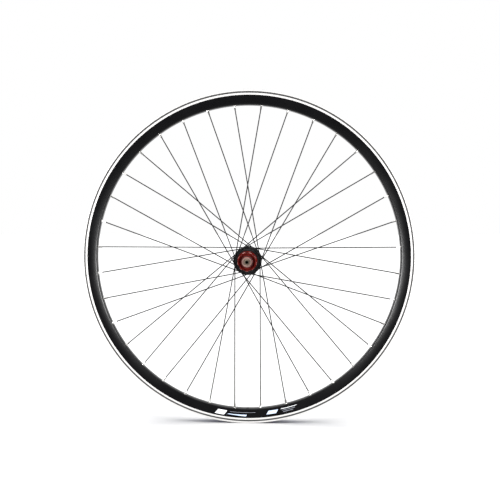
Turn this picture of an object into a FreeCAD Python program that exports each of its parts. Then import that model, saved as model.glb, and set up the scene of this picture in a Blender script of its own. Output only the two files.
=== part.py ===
"""Bare 36-spoke rear wheel for a rim-brake bicycle, on a hollow quick-release axle.

The origin is the wheel's centre. +Y runs along the axle, from the drive side (the
freehub's side) to the other side, and +Z is up. Every size is in millimetres, and every
angle is in degrees, measured from +X towards +Z.
"""
import FreeCAD
import Part
import Sketcher
import math
import os

V = FreeCAD.Vector
AXLE_LINE = V(0, 1, 0)

SIZES = (
    # rim section: radii from the axle line, half widths from the wheel's mid plane
    ("rim_outer_r", 317.8),
    ("rim_half_width", 11.5),
    ("track_height", 9.8),
    ("wear_groove_drop", 4.9),
    ("wear_groove_width", 1.5),
    ("wear_groove_depth", 0.4),
    ("rim_depth", 26.9),
    ("rim_bed_half", 4.4),
    ("rim_bed_wall", 1.8),
    ("rim_side_wall", 1.25),
    ("seat_drop", 6.8),
    ("seat_half", 9.6),
    ("well_drop", 8.8),
    ("well_half", 5.6),
    ("well_wall", 1.2),
    ("hook_half", 8.7),
    ("hook_depth", 2.7),
    ("edge_break", 0.5),
    # holes in the rim
    ("spoke_count", 36),
    ("hole_stagger", 1.0),
    ("access_hole_r", 4.5),
    ("valve_hole_r", 3.25),
    # rim tape
    ("tape_thickness", 0.8),
    ("tape_half", 5.4),
    ("tape_hole_r", 4.0),
    # eyelets
    ("eyelet_bore_r", 2.35),
    ("eyelet_barrel_r", 2.75),
    ("eyelet_flange_r", 3.2),
    ("eyelet_flange_height", 0.52),
    ("eyelet_cup_height", 0.4),
    # spokes and nipples
    ("spoke_r", 1.0),
    ("spoke_bend_r", 2.0),
    ("spoke_head_r", 1.7),
    ("spoke_head_height", 0.8),
    ("spoke_in_nipple", 1.5),
    ("nipple_r", 1.95),
    ("nipple_below_bed", 7.6),
    ("nipple_square", 3.25),
    ("nipple_square_length", 4.6),
    ("nipple_head_r", 2.6),
    ("nipple_head_height", 2.1),
    ("nipple_gap", 0.05),
    # hub flanges
    ("drive_flange_y", -20.5),
    ("drive_flange_r", 27.0),
    ("drive_hole_r", 24.0),
    ("left_flange_y", 34.5),
    ("left_flange_r", 26.5),
    ("left_hole_r", 23.5),
    ("flange_thickness", 3.2),
    ("flange_hole_gap", 0.35),
    ("inside_run_gap", 1.3),
    ("drive_outside_run_gap", 2.6),
    ("left_outside_run_gap", 2.9),
    ("lacing_sweep", 80.0),
    # hub shell
    ("shell_drive_end_y", -27.0),
    ("shell_left_end_y", 40.0),
    ("housing_r", 22.0),
    ("left_housing_r", 17.5),
    ("waist_r", 14.2),
    ("shell_bore_r", 11.0),
    # axle, caps and spacers
    ("axle_r", 5.0),
    ("axle_bore_r", 2.65),
    ("axle_end_r", 4.8),
    ("axle_end_gap", 0.3),
    ("axle_end_break", 0.4),
    ("axle_stick_out", 5.5),
    ("locknut_half_width", 67.5),
    ("cap_r", 9.7),
    ("cap_neck_r", 6.8),
    ("left_cover_r", 12.5),
    ("spacer_r", 6.5),
    # hub bearings, 10 x 26 x 8
    ("hub_bearing_outer_r", 13.0),
    ("hub_bearing_width", 8.0),
    ("hub_pitch_r", 9.0),
    ("hub_ball_r", 2.38),
    ("hub_shoulder", 1.6),
    ("hub_right_bearing_y", -8.0),
    ("hub_left_bearing_y", 35.0),
    ("hub_cage_half_width", 2.9),
    # freehub bearings, 10 x 22 x 6
    ("free_bearing_outer_r", 11.0),
    ("free_bearing_width", 6.0),
    ("free_pitch_r", 8.0),
    ("free_ball_r", 1.5875),
    ("free_shoulder", 1.0),
    ("free_outer_bearing_y", -53.0),
    ("free_inner_bearing_y", -31.0),
    ("free_cage_half_width", 2.0),
    # shared bearing details
    ("race_gap", 0.03),
    ("cage_gap", 0.12),
    ("cage_half_thickness", 0.7),
    ("seal_thickness", 0.5),
    ("seal_inset", 0.2),
    ("seal_gap", 0.3),
    # freehub
    ("freehub_end_y", -63.0),
    ("spline_r", 17.45),
    ("spline_root", 16.0),
    ("spline_count", 9),
    ("spline_groove_half", 3.4),
    ("spline_flare", 0.5),
    ("stop_flange_r", 18.7),
    ("stop_flange_y", -27.4),
    ("stop_flange_width", 1.6),
    ("lockring_bore_r", 15.3),
    ("lockring_bore_depth", 6.5),
    ("freehub_neck_r", 9.5),
    ("freehub_tail_bore_r", 7.2),
    ("drum_r", 15.2),
    ("drum_end_y", -15.6),
    # ratchet and pawls
    ("ratchet_outer_r", 19.0),
    ("ratchet_tip_r", 15.9),
    ("ratchet_root_r", 17.3),
    ("ratchet_teeth", 24),
    ("ratchet_y", -15.0),
    ("ratchet_width", 10.6),
    ("tooth_face_lag", 28.1),
    ("tooth_valley", 14.0),
    ("pawl_count", 3),
    ("pawl_pivot_r", 12.9),
    ("pawl_round_r", 1.7),
    ("pawl_reach", 7.5),
    ("pawl_undercut", 1.2),
    ("pawl_half", 1.5),
    ("pawl_tip_rise", 0.1),
    ("pawl_length", 8.6),
    ("pawl_y", -21.0),
    ("pawl_gap", 0.05),
    ("pocket_reach", 8.3),
    ("pocket_floor", 10.6),
    ("pocket_length", 9.0),
    ("spring_thickness", 0.24),
    ("seal_ring_width", 0.9),
    ("seal_ring_r", 15.6),
)

# Places that follow from the sizes above
BED_R = "(dim.rim_outer_r - dim.rim_depth)"
TRACK_R = "(dim.rim_outer_r - dim.track_height)"
GROOVE_R = "(dim.rim_outer_r - dim.wear_groove_drop)"
SEAT_R = "(dim.rim_outer_r - dim.seat_drop)"
WELL_R = "(dim.rim_outer_r - dim.well_drop)"
AXLE_HALF = "(dim.locknut_half_width + dim.axle_stick_out)"

DOC = FreeCAD.newDocument("rear_wheel")


def fill_sheet():
    """Put every driving size in a sheet, each under its own name."""
    sheet = DOC.addObject("Spreadsheet::Sheet", "dim")
    for row, (name, amount) in enumerate(SIZES, start=1):
        sheet.set("A%d" % row, name)
        sheet.set("B%d" % row, str(amount))
        sheet.setAlias("B%d" % row, name)
    DOC.recompute()
    return sheet


SHEET = fill_sheet()


def size(name):
    """One size from the sheet."""
    return float(SHEET.get(name))


# Helpers shared by the sub-parts


def plane_of(body, role):
    """One of a body's own origin planes or axes."""
    return next(item for item in body.Origin.OriginFeatures if item.Role == role)


def new_sketch(body, label, role="XY_Plane"):
    """A sketch on an origin plane: XY for sections turned about the axle line, XZ for end views."""
    sketch = body.newObject("Sketcher::SketchObject", label)
    sketch.AttachmentSupport = (plane_of(body, role), [""])
    sketch.MapMode = "FlatFace"
    return sketch


def fix_coordinate(sketch, kind, geometry, point, text):
    """Hold one coordinate of a sketch point to an expression."""
    number = sketch.addConstraint(
        Sketcher.Constraint(kind, geometry, point, float(sketch.evalExpression(text)))
    )
    sketch.setExpression("Constraints[%d]" % number, text)


def draw_loop(sketch, corners):
    """Draw a closed polygon whose corners are pairs of expressions."""
    spots = [V(float(sketch.evalExpression(x)), float(sketch.evalExpression(y)), 0) for x, y in corners]
    first = sketch.GeometryCount
    count = len(spots)
    for i in range(count):
        sketch.addGeometry(Part.LineSegment(spots[i], spots[(i + 1) % count]), False)
    for i in range(count):
        sketch.addConstraint(Sketcher.Constraint("Coincident", first + i, 2, first + (i + 1) % count, 1))
    for i, (x, y) in enumerate(corners):
        fix_coordinate(sketch, "DistanceX", first + i, 1, x)
        fix_coordinate(sketch, "DistanceY", first + i, 1, y)


def draw_circle(sketch, x, y, radius):
    """Draw a circle whose centre and radius are expressions."""
    centre = V(float(sketch.evalExpression(x)), float(sketch.evalExpression(y)), 0)
    number = sketch.addGeometry(
        Part.Circle(centre, V(0, 0, 1), float(sketch.evalExpression(radius))), False
    )
    fix_coordinate(sketch, "DistanceX", number, 3, x)
    fix_coordinate(sketch, "DistanceY", number, 3, y)
    held = sketch.addConstraint(Sketcher.Constraint("Radius", number, float(sketch.evalExpression(radius))))
    sketch.setExpression("Constraints[%d]" % held, radius)


def turned(label, *loops):
    """A body turned about the axle line from one section. Corners are (radius, y) pairs."""
    body = DOC.addObject("PartDesign::Body", label)
    sketch = new_sketch(body, label + "_section")
    for corners in loops:
        draw_loop(sketch, corners)
    turn = body.newObject("PartDesign::Revolution", label + "_turn")
    turn.Profile = sketch
    turn.ReferenceAxis = (sketch, ["V_Axis"])
    turn.Angle = 360
    return body


def ring(label, inner, outer, low, high):
    """A plain turned ring between two radii and two heights along the axle."""
    return turned(label, [(inner, low), (outer, low), (outer, high), (inner, high)])


def lift_sketch(sketch, y):
    """Move an XZ sketch to a height along the axle. Its normal points to -Y."""
    sketch.setExpression("AttachmentOffset.Base.z", "-(%s)" % y)


def cut_along_axle(body, label, draw, start, depth):
    """Pocket a profile drawn in an end view, from start towards +Y."""
    sketch = new_sketch(body, label + "_shape", "XZ_Plane")
    draw(sketch)
    lift_sketch(sketch, start)
    pocket = body.newObject("PartDesign::Pocket", label)
    pocket.Profile = sketch
    pocket.setExpression("Length", depth)
    return pocket


def add_along_axle(body, label, draw, start, depth):
    """Pad a profile drawn in an end view, from start towards +Y."""
    sketch = new_sketch(body, label + "_shape", "XZ_Plane")
    draw(sketch)
    lift_sketch(sketch, start)
    pad = body.newObject("PartDesign::Pad", label)
    pad.Profile = sketch
    pad.Reversed = True
    pad.setExpression("Length", depth)
    return pad


def repeat_round(body, label, features, count):
    """Repeat cuts evenly round the axle line."""
    pattern = body.newObject("PartDesign::PolarPattern", label)
    pattern.Originals = features
    pattern.Axis = (plane_of(body, "Y_Axis"), [""])
    pattern.Angle = 360
    pattern.setExpression("Occurrences", count)
    body.Tip = pattern
    return pattern


def drill_radially(body, label, turn_deg, y, radius, start, depth):
    """Drill a round hole outwards. A turn of 0 drills straight down, along -Z."""
    sketch = new_sketch(body, label + "_shape")
    draw_circle(sketch, "0", y, radius)
    turn = math.radians(turn_deg)
    sketch.AttachmentOffset = FreeCAD.Placement(V(0, 0, 0), FreeCAD.Rotation(AXLE_LINE, turn_deg))
    sketch.setExpression("AttachmentOffset.Base.x", "-(%s) * %.9f" % (start, math.sin(turn)))
    sketch.setExpression("AttachmentOffset.Base.z", "-(%s) * %.9f" % (start, math.cos(turn)))
    hole = body.newObject("PartDesign::Pocket", label)
    hole.Profile = sketch
    hole.setExpression("Length", depth)
    return hole


def on_circle(radius, degrees, y):
    """A point at a radius and an angle about the axle line."""
    turn = math.radians(degrees)
    return V(radius * math.cos(turn), y, radius * math.sin(turn))


def group(label, solids):
    """Several separate solids in one sub-part."""
    item = DOC.addObject("Part::Feature", label)
    item.Shape = Part.makeCompound(solids)
    item.Placement = FreeCAD.Placement()
    return item


# Rim


def rim_side(sign):
    """One side's corners of the rim's outer outline, from the spoke bed round to the tyre well."""
    s = "%s1 * " % sign
    return [
        (BED_R, s + "dim.rim_bed_half"),
        (BED_R + " + 1", s + "(dim.rim_bed_half + 1.5)"),
        (TRACK_R, s + "dim.rim_half_width"),
        (GROOVE_R + " - dim.wear_groove_width / 2", s + "dim.rim_half_width"),
        (
            GROOVE_R + " - dim.wear_groove_width / 2",
            s + "(dim.rim_half_width - dim.wear_groove_depth)",
        ),
        (
            GROOVE_R + " + dim.wear_groove_width / 2",
            s + "(dim.rim_half_width - dim.wear_groove_depth)",
        ),
        (GROOVE_R + " + dim.wear_groove_width / 2", s + "dim.rim_half_width"),
        ("dim.rim_outer_r - dim.edge_break", s + "dim.rim_half_width"),
        ("dim.rim_outer_r", s + "(dim.rim_half_width - dim.edge_break)"),
        ("dim.rim_outer_r", s + "(dim.hook_half + 0.8)"),
        ("dim.rim_outer_r - 0.7", s + "dim.hook_half"),
        ("dim.rim_outer_r - 1.9", s + "dim.hook_half"),
        ("dim.rim_outer_r - dim.hook_depth", s + "dim.seat_half"),
        (SEAT_R, s + "dim.seat_half"),
        (SEAT_R, s + "(dim.seat_half - 2)"),
        (WELL_R, s + "dim.well_half"),
    ]


def chamber_side(sign):
    """One side's corners of the rim's closed inner chamber."""
    s = "%s1 * " % sign
    return [
        (BED_R + " + dim.rim_bed_wall", s + "(dim.rim_bed_half + 0.5)"),
        (TRACK_R + " - 0.3", s + "(dim.rim_half_width - dim.rim_side_wall - 0.4)"),
        (WELL_R + " - 0.5", s + "(dim.seat_half - 1)"),
        (WELL_R + " - dim.well_wall", s + "dim.well_half"),
    ]


def make_rim():
    """Double-walled rim with hooked sides, brake tracks, spoke holes and a valve hole."""
    outline = rim_side("") + list(reversed(rim_side("-")))
    chamber = chamber_side("") + list(reversed(chamber_side("-")))
    rim = turned("rim", outline, chamber)
    step = 360.0 / size("spoke_count")
    each_side = "dim.spoke_count / 2"
    fit = "dim.eyelet_barrel_r + 0.02"
    bed_depth = BED_R + " + dim.rim_bed_wall + 3"
    drive = drill_radially(rim, "drive_spoke_holes", step / 2, "-1 * dim.hole_stagger", fit, "0", bed_depth)
    repeat_round(rim, "drive_spoke_hole_ring", [drive], each_side)
    left = drill_radially(rim, "left_spoke_holes", -step / 2, "dim.hole_stagger", fit, "0", bed_depth)
    repeat_round(rim, "left_spoke_hole_ring", [left], each_side)
    access = drill_radially(
        rim, "access_holes", step / 2, "0", "dim.access_hole_r", TRACK_R + " - 5", "12"
    )
    repeat_round(rim, "access_hole_ring", [access], "dim.spoke_count")
    drill_radially(rim, "valve_hole", 0, "0", "dim.valve_hole_r", BED_R + " - 10", "40")


def make_rim_tape():
    """Tape that covers the access holes in the tyre well."""
    tape = ring(
        "rim_tape",
        WELL_R + " + 0.05",
        WELL_R + " + 0.05 + dim.tape_thickness",
        "-1 * dim.tape_half",
        "dim.tape_half",
    )
    drill_radially(tape, "tape_valve_hole", 0, "0", "dim.tape_hole_r", BED_R, "40")


# Lacing: spokes, nipples and eyelets


def rim_angle(number):
    """The angle of a spoke hole in the rim. The valve hole, at -90, is half way between two."""
    step = 360.0 / size("spoke_count")
    return -90.0 + step / 2 - step * number


def lacing():
    """Every spoke as (side, direction, rim angle, hub angle). Two leading, then two trailing."""
    rows = []
    for number in range(int(size("spoke_count"))):
        side = "left" if number % 2 == 0 else "drive"
        direction = 1 if number % 4 in (0, 3) else -1
        angle = rim_angle(number)
        rows.append((side, direction, angle, angle + direction * size("lacing_sweep")))
    return rows


def bed_point(side, angle):
    """The centre of a spoke hole on the rim's spoke bed."""
    y = size("hole_stagger") if side == "left" else -size("hole_stagger")
    return on_circle(size("rim_outer_r") - size("rim_depth"), angle, y)


def elbow_points(side, direction, hub_angle, target):
    """The elbow of one spoke: start of the bend, its middle and its end, and both directions."""
    outward = 1 if side == "left" else -1
    outside = direction == 1
    through = V(0, outward if outside else -outward, 0)
    gap = size(side + "_outside_run_gap") if outside else size("inside_run_gap")
    face = size(side + "_flange_y") + through.y * size("flange_thickness") / 2
    corner = on_circle(size(side + "_hole_r"), hub_angle, face + through.y * gap)
    along = (target - corner).normalize()
    bend = through.getAngle(along)
    radius = size("spoke_bend_r")
    inward = (along - through).normalize()
    centre = corner + inward * (radius / math.cos(bend / 2))
    reach = radius * math.tan(bend / 2)
    return corner - through * reach, centre - inward * radius, corner + along * reach, through, along


def one_spoke(side, direction, angle, hub_angle):
    """One J-bend spoke, from its head on the flange to its end inside the nipple."""
    target = bed_point(side, angle)
    bend_start, bend_middle, bend_end, through, along = elbow_points(side, direction, hub_angle, target)
    head_face = size(side + "_flange_y") - through.y * size("flange_thickness") / 2
    seat = V(bend_start.x, head_face, bend_start.z)
    start = seat - through * (size("spoke_head_height") / 2)
    path = Part.Wire(
        [
            Part.makeLine(start, bend_start),
            Part.Arc(bend_start, bend_middle, bend_end).toShape(),
            Part.makeLine(bend_end, target + along * size("spoke_in_nipple")),
        ]
    )
    section = Part.Wire([Part.makeCircle(size("spoke_r"), start, through)])
    wire = path.makePipeShell([section], True, False)
    head = Part.makeCylinder(
        size("spoke_head_r"), size("spoke_head_height"), seat - through * size("spoke_head_height"), through
    )
    return wire.fuse(head).removeSplitter()


def make_spokes():
    """Four groups of nine spokes: each flange has one group on either face."""
    for side in ("drive", "left"):
        for direction, word in ((1, "outside"), (-1, "inside")):
            solids = [one_spoke(*row) for row in lacing() if row[:2] == (side, direction)]
            group("%s_%s_spokes" % (side, word), solids)


def nipple_shape():
    """One nipple along +Z, with the rim's spoke bed at z = 0."""
    low = -size("nipple_below_bed")
    square_length = size("nipple_square_length")
    flats = size("nipple_square")
    neck_top = size("rim_bed_wall") + 0.6
    grip = Part.makeBox(flats, flats, square_length, V(-flats / 2, -flats / 2, low))
    grip = grip.common(Part.makeCylinder(size("nipple_r"), square_length, V(0, 0, low)))
    neck = Part.makeCylinder(
        size("nipple_r"), neck_top - low - square_length, V(0, 0, low + square_length)
    )
    shoulder = Part.makeCone(size("nipple_r"), size("nipple_head_r"), 0.6, V(0, 0, neck_top))
    head_height = size("nipple_head_height") - 1.1
    head = Part.makeCylinder(size("nipple_head_r"), head_height, V(0, 0, neck_top + 0.6))
    crown = Part.makeCone(size("nipple_head_r"), 1.9, 0.5, V(0, 0, neck_top + 0.6 + head_height))
    body = grip.multiFuse([neck, shoulder, head, crown])
    bore = Part.makeCylinder(size("spoke_r") + size("nipple_gap"), 40, V(0, 0, low - 10))
    return body.cut(bore).removeSplitter()


def eyelet_shape():
    """One eyelet along +Z: a flange under the spoke bed, a barrel through it and a cup above."""
    bore = size("eyelet_bore_r")
    barrel = size("eyelet_barrel_r")
    flange = size("eyelet_flange_r")
    bottom = -0.03 - size("eyelet_flange_height")
    cup = size("rim_bed_wall") + 0.02
    corners = (
        V(bore, 0, bottom),
        V(flange - 0.2, 0, bottom),
        V(flange, 0, bottom + 0.2),
        V(flange, 0, -0.03),
        V(barrel, 0, -0.03),
        V(barrel, 0, cup),
        V(flange, 0, cup),
        V(flange, 0, cup + size("eyelet_cup_height")),
        V(bore, 0, cup + size("eyelet_cup_height")),
    )
    face = Part.Face(Part.makePolygon(corners + corners[:1]))
    return face.revolve(V(0, 0, 0), V(0, 0, 1), 360)


def placed(shape, point, direction):
    """A copy of a shape drawn along +Z, moved to a point and aimed along a direction."""
    copy = shape.copy()
    copy.Placement = FreeCAD.Placement(point, FreeCAD.Rotation(V(0, 0, 1), direction))
    return copy


def make_nipples():
    """One nipple on the end of every spoke, in line with it."""
    pattern = nipple_shape()
    for side in ("drive", "left"):
        solids = []
        for row in lacing():
            if row[0] == side:
                target = bed_point(side, row[2])
                along = elbow_points(side, row[1], row[3], target)[4]
                solids.append(placed(pattern, target, along))
        group(side + "_nipples", solids)


def make_eyelets():
    """One eyelet in every spoke hole, square to the rim."""
    pattern = eyelet_shape()
    for side in ("drive", "left"):
        solids = [
            placed(pattern, bed_point(side, row[2]), on_circle(1, row[2], 0))
            for row in lacing()
            if row[0] == side
        ]
        group(side + "_eyelets", solids)


# Hub shell


def flange_outline(side):
    """One flange's corners in the shell's outline, from its low-y face to its high-y face."""
    y = "dim.%s_flange_y" % side
    edge = "dim.%s_flange_r" % side
    root = "dim.housing_r" if side == "drive" else "dim.left_housing_r"
    return [
        (root, y + " - dim.flange_thickness / 2"),
        (edge + " - dim.edge_break", y + " - dim.flange_thickness / 2"),
        (edge, y + " - dim.flange_thickness / 2 + dim.edge_break"),
        (edge, y + " + dim.flange_thickness / 2 - dim.edge_break"),
        (edge + " - dim.edge_break", y + " + dim.flange_thickness / 2"),
        (root, y + " + dim.flange_thickness / 2"),
    ]


def make_hub_shell():
    """Shell with two spoke flanges, the ratchet's housing and two bearing seats."""
    right_seat = "dim.hub_right_bearing_y + dim.hub_bearing_width / 2"
    left_seat = "dim.hub_left_bearing_y - dim.hub_bearing_width / 2"
    outline = [
        ("dim.ratchet_outer_r", "dim.ratchet_y"),
        ("dim.ratchet_outer_r", "dim.shell_drive_end_y"),
        ("dim.housing_r - dim.edge_break", "dim.shell_drive_end_y"),
        ("dim.housing_r", "dim.shell_drive_end_y + dim.edge_break"),
    ]
    outline += flange_outline("drive")
    outline += [
        ("dim.housing_r", "dim.ratchet_y - 0.5"),
        ("dim.waist_r + 2", "dim.hub_right_bearing_y + 3"),
        ("dim.waist_r", "dim.hub_right_bearing_y + 9"),
        ("dim.waist_r", left_seat + " - 9"),
        ("dim.left_housing_r", left_seat + " - 2"),
    ]
    outline += flange_outline("left")
    outline += [
        ("dim.left_housing_r", "dim.shell_left_end_y - dim.edge_break"),
        ("dim.left_housing_r - dim.edge_break", "dim.shell_left_end_y"),
        ("dim.hub_bearing_outer_r", "dim.shell_left_end_y"),
        ("dim.hub_bearing_outer_r", left_seat),
        ("dim.shell_bore_r", left_seat),
        ("dim.shell_bore_r", right_seat),
        ("dim.hub_bearing_outer_r", right_seat),
        ("dim.hub_bearing_outer_r", "dim.ratchet_y"),
    ]
    shell = turned("hub_shell", outline)
    for side in ("drive", "left"):
        drill_flange(shell, side)


def drill_flange(shell, side):
    """Drill one flange's ring of spoke holes."""
    first = next(row[3] for row in lacing() if row[0] == side)
    radius = "dim.%s_hole_r" % side

    def draw(sketch):
        draw_circle(
            sketch,
            "%s * cos(%.6f deg)" % (radius, first),
            "%s * sin(%.6f deg)" % (radius, first),
            "dim.spoke_r + dim.flange_hole_gap",
        )

    start = "dim.%s_flange_y - dim.flange_thickness / 2 - 0.5" % side
    hole = cut_along_axle(shell, side + "_flange_hole", draw, start, "dim.flange_thickness + 1")
    repeat_round(shell, side + "_flange_hole_ring", [hole], "dim.spoke_count / 2")


# Axle, end caps and spacers


def make_axle():
    """Hollow axle for the quick-release skewer, a little slimmer where it sits in the dropouts."""
    half = AXLE_HALF
    step = "(dim.locknut_half_width + dim.axle_end_gap)"
    tip = "dim.axle_end_r - dim.axle_end_break"
    turned(
        "axle",
        [
            ("dim.axle_bore_r", "-1 * " + half),
            (tip, "-1 * " + half),
            ("dim.axle_end_r", "-1 * " + half + " + dim.axle_end_break"),
            ("dim.axle_end_r", "-1 * " + step),
            ("dim.axle_r", "-1 * " + step),
            ("dim.axle_r", step),
            ("dim.axle_end_r", step),
            ("dim.axle_end_r", half + " - dim.axle_end_break"),
            (tip, half),
            ("dim.axle_bore_r", half),
        ],
    )


def make_right_end_cap():
    """Drive-side end cap: a round head inside the freehub's mouth and a neck to the bearing."""
    face = "-1 * dim.locknut_half_width"
    race = "dim.free_outer_bearing_y - dim.free_bearing_width / 2"
    turned(
        "right_end_cap",
        [
            ("dim.axle_r + 0.8", face),
            ("dim.cap_r - 0.8", face),
            ("dim.cap_r", face + " + 0.8"),
            ("dim.cap_r", race + " - 1.2"),
            ("dim.cap_neck_r", race + " - 1.2"),
            ("dim.cap_neck_r", race),
            ("dim.axle_r", race),
            ("dim.axle_r", face + " + 0.8"),
        ],
    )


def make_left_end_cap():
    """Left end cap: a dust cover over the bearing and a long barrel to the dropout."""
    face = "dim.locknut_half_width"
    race = "dim.hub_left_bearing_y + dim.hub_bearing_width / 2"
    cover = "dim.shell_left_end_y + 0.6"
    turned(
        "left_end_cap",
        [
            ("dim.axle_r", race),
            ("dim.cap_neck_r", race),
            ("dim.cap_neck_r", cover),
            ("dim.left_cover_r", cover),
            ("dim.left_cover_r", cover + " + 2.4"),
            ("dim.cap_r", cover + " + 6"),
            ("dim.cap_r", face + " - 0.8"),
            ("dim.cap_r - 0.8", face),
            ("dim.axle_r + 0.8", face),
            ("dim.axle_r", face + " - 0.8"),
        ],
    )


def make_spacers():
    """Sleeves on the axle between the bearings' inner races, and one between outer races."""
    hub_half = "dim.hub_bearing_width / 2"
    free_half = "dim.free_bearing_width / 2"
    right = "dim.hub_right_bearing_y"
    inner = "dim.free_inner_bearing_y"
    outer = "dim.free_outer_bearing_y"
    spacer = ("dim.axle_r", "dim.spacer_r")
    ring("centre_spacer", *spacer, right + " + " + hub_half, "dim.hub_left_bearing_y - " + hub_half)
    ring("freehub_spacer", *spacer, inner + " + " + free_half, right + " - " + hub_half)
    ring("freehub_sleeve", *spacer, outer + " + " + free_half, inner + " - " + free_half)
    ring(
        "freehub_race_spacer",
        "dim.free_bearing_outer_r - 1.2",
        "dim.free_bearing_outer_r",
        outer + " + " + free_half,
        inner + " - " + free_half,
    )


# Ball bearings


def make_race(label, inner, outer, kind, centre):
    """One race: a ring with a round groove for the balls."""
    half = "dim.%s_bearing_width / 2" % kind
    race = ring(label, inner, outer, "%s - %s" % (centre, half), "%s + %s" % (centre, half))
    sketch = new_sketch(race, label + "_groove_shape")
    draw_circle(sketch, "dim.%s_pitch_r" % kind, centre, "dim.%s_ball_r + dim.race_gap" % kind)
    groove = race.newObject("PartDesign::Groove", label + "_groove")
    groove.Profile = sketch
    groove.ReferenceAxis = (sketch, ["V_Axis"])
    groove.Angle = 360


def ball_spots(kind, centre, count):
    """Centres of a bearing's balls."""
    return [on_circle(size(kind + "_pitch_r"), 360.0 * i / count, size(centre)) for i in range(count)]


def make_balls(label, kind, centre, count):
    """A bearing's balls."""
    radius = size(kind + "_ball_r")
    group(label, [Part.makeSphere(radius, spot) for spot in ball_spots(kind, centre, count)])


def make_cage(label, kind, centre, count):
    """The cage that spaces a bearing's balls."""
    half = size(kind + "_cage_half_width")
    pitch = size(kind + "_pitch_r")
    thick = size("cage_half_thickness")
    start = V(0, size(centre) - half, 0)
    cage = Part.makeCylinder(pitch + thick, 2 * half, start, AXLE_LINE)
    cage = cage.cut(Part.makeCylinder(pitch - thick, 2 * half, start, AXLE_LINE))
    pocket = size(kind + "_ball_r") + size("cage_gap")
    pockets = []
    for i in range(count):
        turn = 360.0 * i / count
        inner_end = on_circle(pitch - 2 * thick, turn, size(centre))
        pockets.append(Part.makeCylinder(pocket, 4 * thick, inner_end, on_circle(1, turn, 0)))
    group(label, [cage.cut(pockets)])


def seal_solid(kind, centre, side):
    """One of a bearing's two seals, fixed in its outer race."""
    half = size(kind + "_bearing_width") / 2
    outer = size(kind + "_pitch_r") + size(kind + "_shoulder")
    inner = size(kind + "_pitch_r") - size(kind + "_shoulder") + size("seal_gap")
    thickness = size("seal_thickness")
    middle = size(centre) + side * (half - size("seal_inset") - thickness / 2)
    start = V(0, middle - thickness / 2, 0)
    disc = Part.makeCylinder(outer, thickness, start, AXLE_LINE)
    return disc.cut(Part.makeCylinder(inner, thickness, start, AXLE_LINE))


def make_bearing(name, kind, centre, balls):
    """A sealed ball bearing: two races, balls, cage and two seals."""
    y = "dim." + centre
    pitch = "dim.%s_pitch_r" % kind
    shoulder = "dim.%s_shoulder" % kind
    make_race(name + "_inner_race", "dim.axle_r", pitch + " - " + shoulder, kind, y)
    make_race(name + "_outer_race", pitch + " + " + shoulder, "dim.%s_bearing_outer_r" % kind, kind, y)
    make_balls(name + "_balls", kind, centre, balls)
    make_cage(name + "_cage", kind, centre, balls)
    group(name + "_seals", [seal_solid(kind, centre, side) for side in (-1, 1)])


# Freehub, ratchet and pawls


def make_freehub_body():
    """Splined body for the sprockets, with a drum that carries the pawls."""
    stop = "dim.stop_flange_y"
    bore_end = "dim.free_inner_bearing_y + dim.free_bearing_width / 2"
    body = turned(
        "freehub_body",
        [
            ("dim.lockring_bore_r", "dim.freehub_end_y"),
            ("dim.spline_r - dim.edge_break", "dim.freehub_end_y"),
            ("dim.spline_r", "dim.freehub_end_y + dim.edge_break"),
            ("dim.spline_r", stop + " - dim.stop_flange_width"),
            ("dim.stop_flange_r", stop + " - dim.stop_flange_width"),
            ("dim.stop_flange_r", stop),
            ("dim.drum_r", stop),
            ("dim.drum_r", "dim.drum_end_y"),
            ("dim.freehub_tail_bore_r", "dim.drum_end_y"),
            ("dim.freehub_tail_bore_r", bore_end + " + 1.5"),
            ("dim.freehub_neck_r", bore_end + " + 1.5"),
            ("dim.freehub_neck_r", bore_end),
            ("dim.free_bearing_outer_r", bore_end),
            ("dim.free_bearing_outer_r", "dim.freehub_end_y + dim.lockring_bore_depth"),
            ("dim.lockring_bore_r", "dim.freehub_end_y + dim.lockring_bore_depth"),
        ],
    )
    cut_splines(body)
    cut_pawl_pockets(body)


def cut_splines(body):
    """Cut the grooves between the splines."""

    def draw(sketch):
        draw_loop(
            sketch,
            [
                ("-1 * dim.spline_groove_half", "dim.spline_root"),
                ("dim.spline_groove_half", "dim.spline_root"),
                ("dim.spline_groove_half + dim.spline_flare", "dim.spline_r + 1"),
                ("-1 * dim.spline_groove_half - dim.spline_flare", "dim.spline_r + 1"),
            ],
        )

    length = "dim.stop_flange_y - dim.stop_flange_width - dim.freehub_end_y + 0.5"
    groove = cut_along_axle(body, "spline_groove", draw, "dim.freehub_end_y - 1", length)
    repeat_round(body, "spline_grooves", [groove], "dim.spline_count")


def cut_pawl_pockets(body):
    """Cut the three pockets in the drum, each with a round socket at the pawl's pivot."""

    def draw_pocket(sketch):
        draw_loop(
            sketch,
            [
                ("0", "dim.pocket_floor"),
                ("dim.pocket_reach", "dim.pocket_floor"),
                ("dim.pocket_reach", "dim.drum_r + 1"),
                ("0", "dim.drum_r + 1"),
            ],
        )

    def draw_socket(sketch):
        draw_circle(sketch, "0", "dim.pawl_pivot_r", "dim.pawl_round_r + dim.pawl_gap")

    start = "dim.pawl_y - dim.pocket_length / 2"
    pocket = cut_along_axle(body, "pawl_pocket", draw_pocket, start, "dim.pocket_length")
    socket = cut_along_axle(body, "pawl_socket", draw_socket, start, "dim.pocket_length")
    repeat_round(body, "pawl_pockets", [pocket, socket], "dim.pawl_count")


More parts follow.
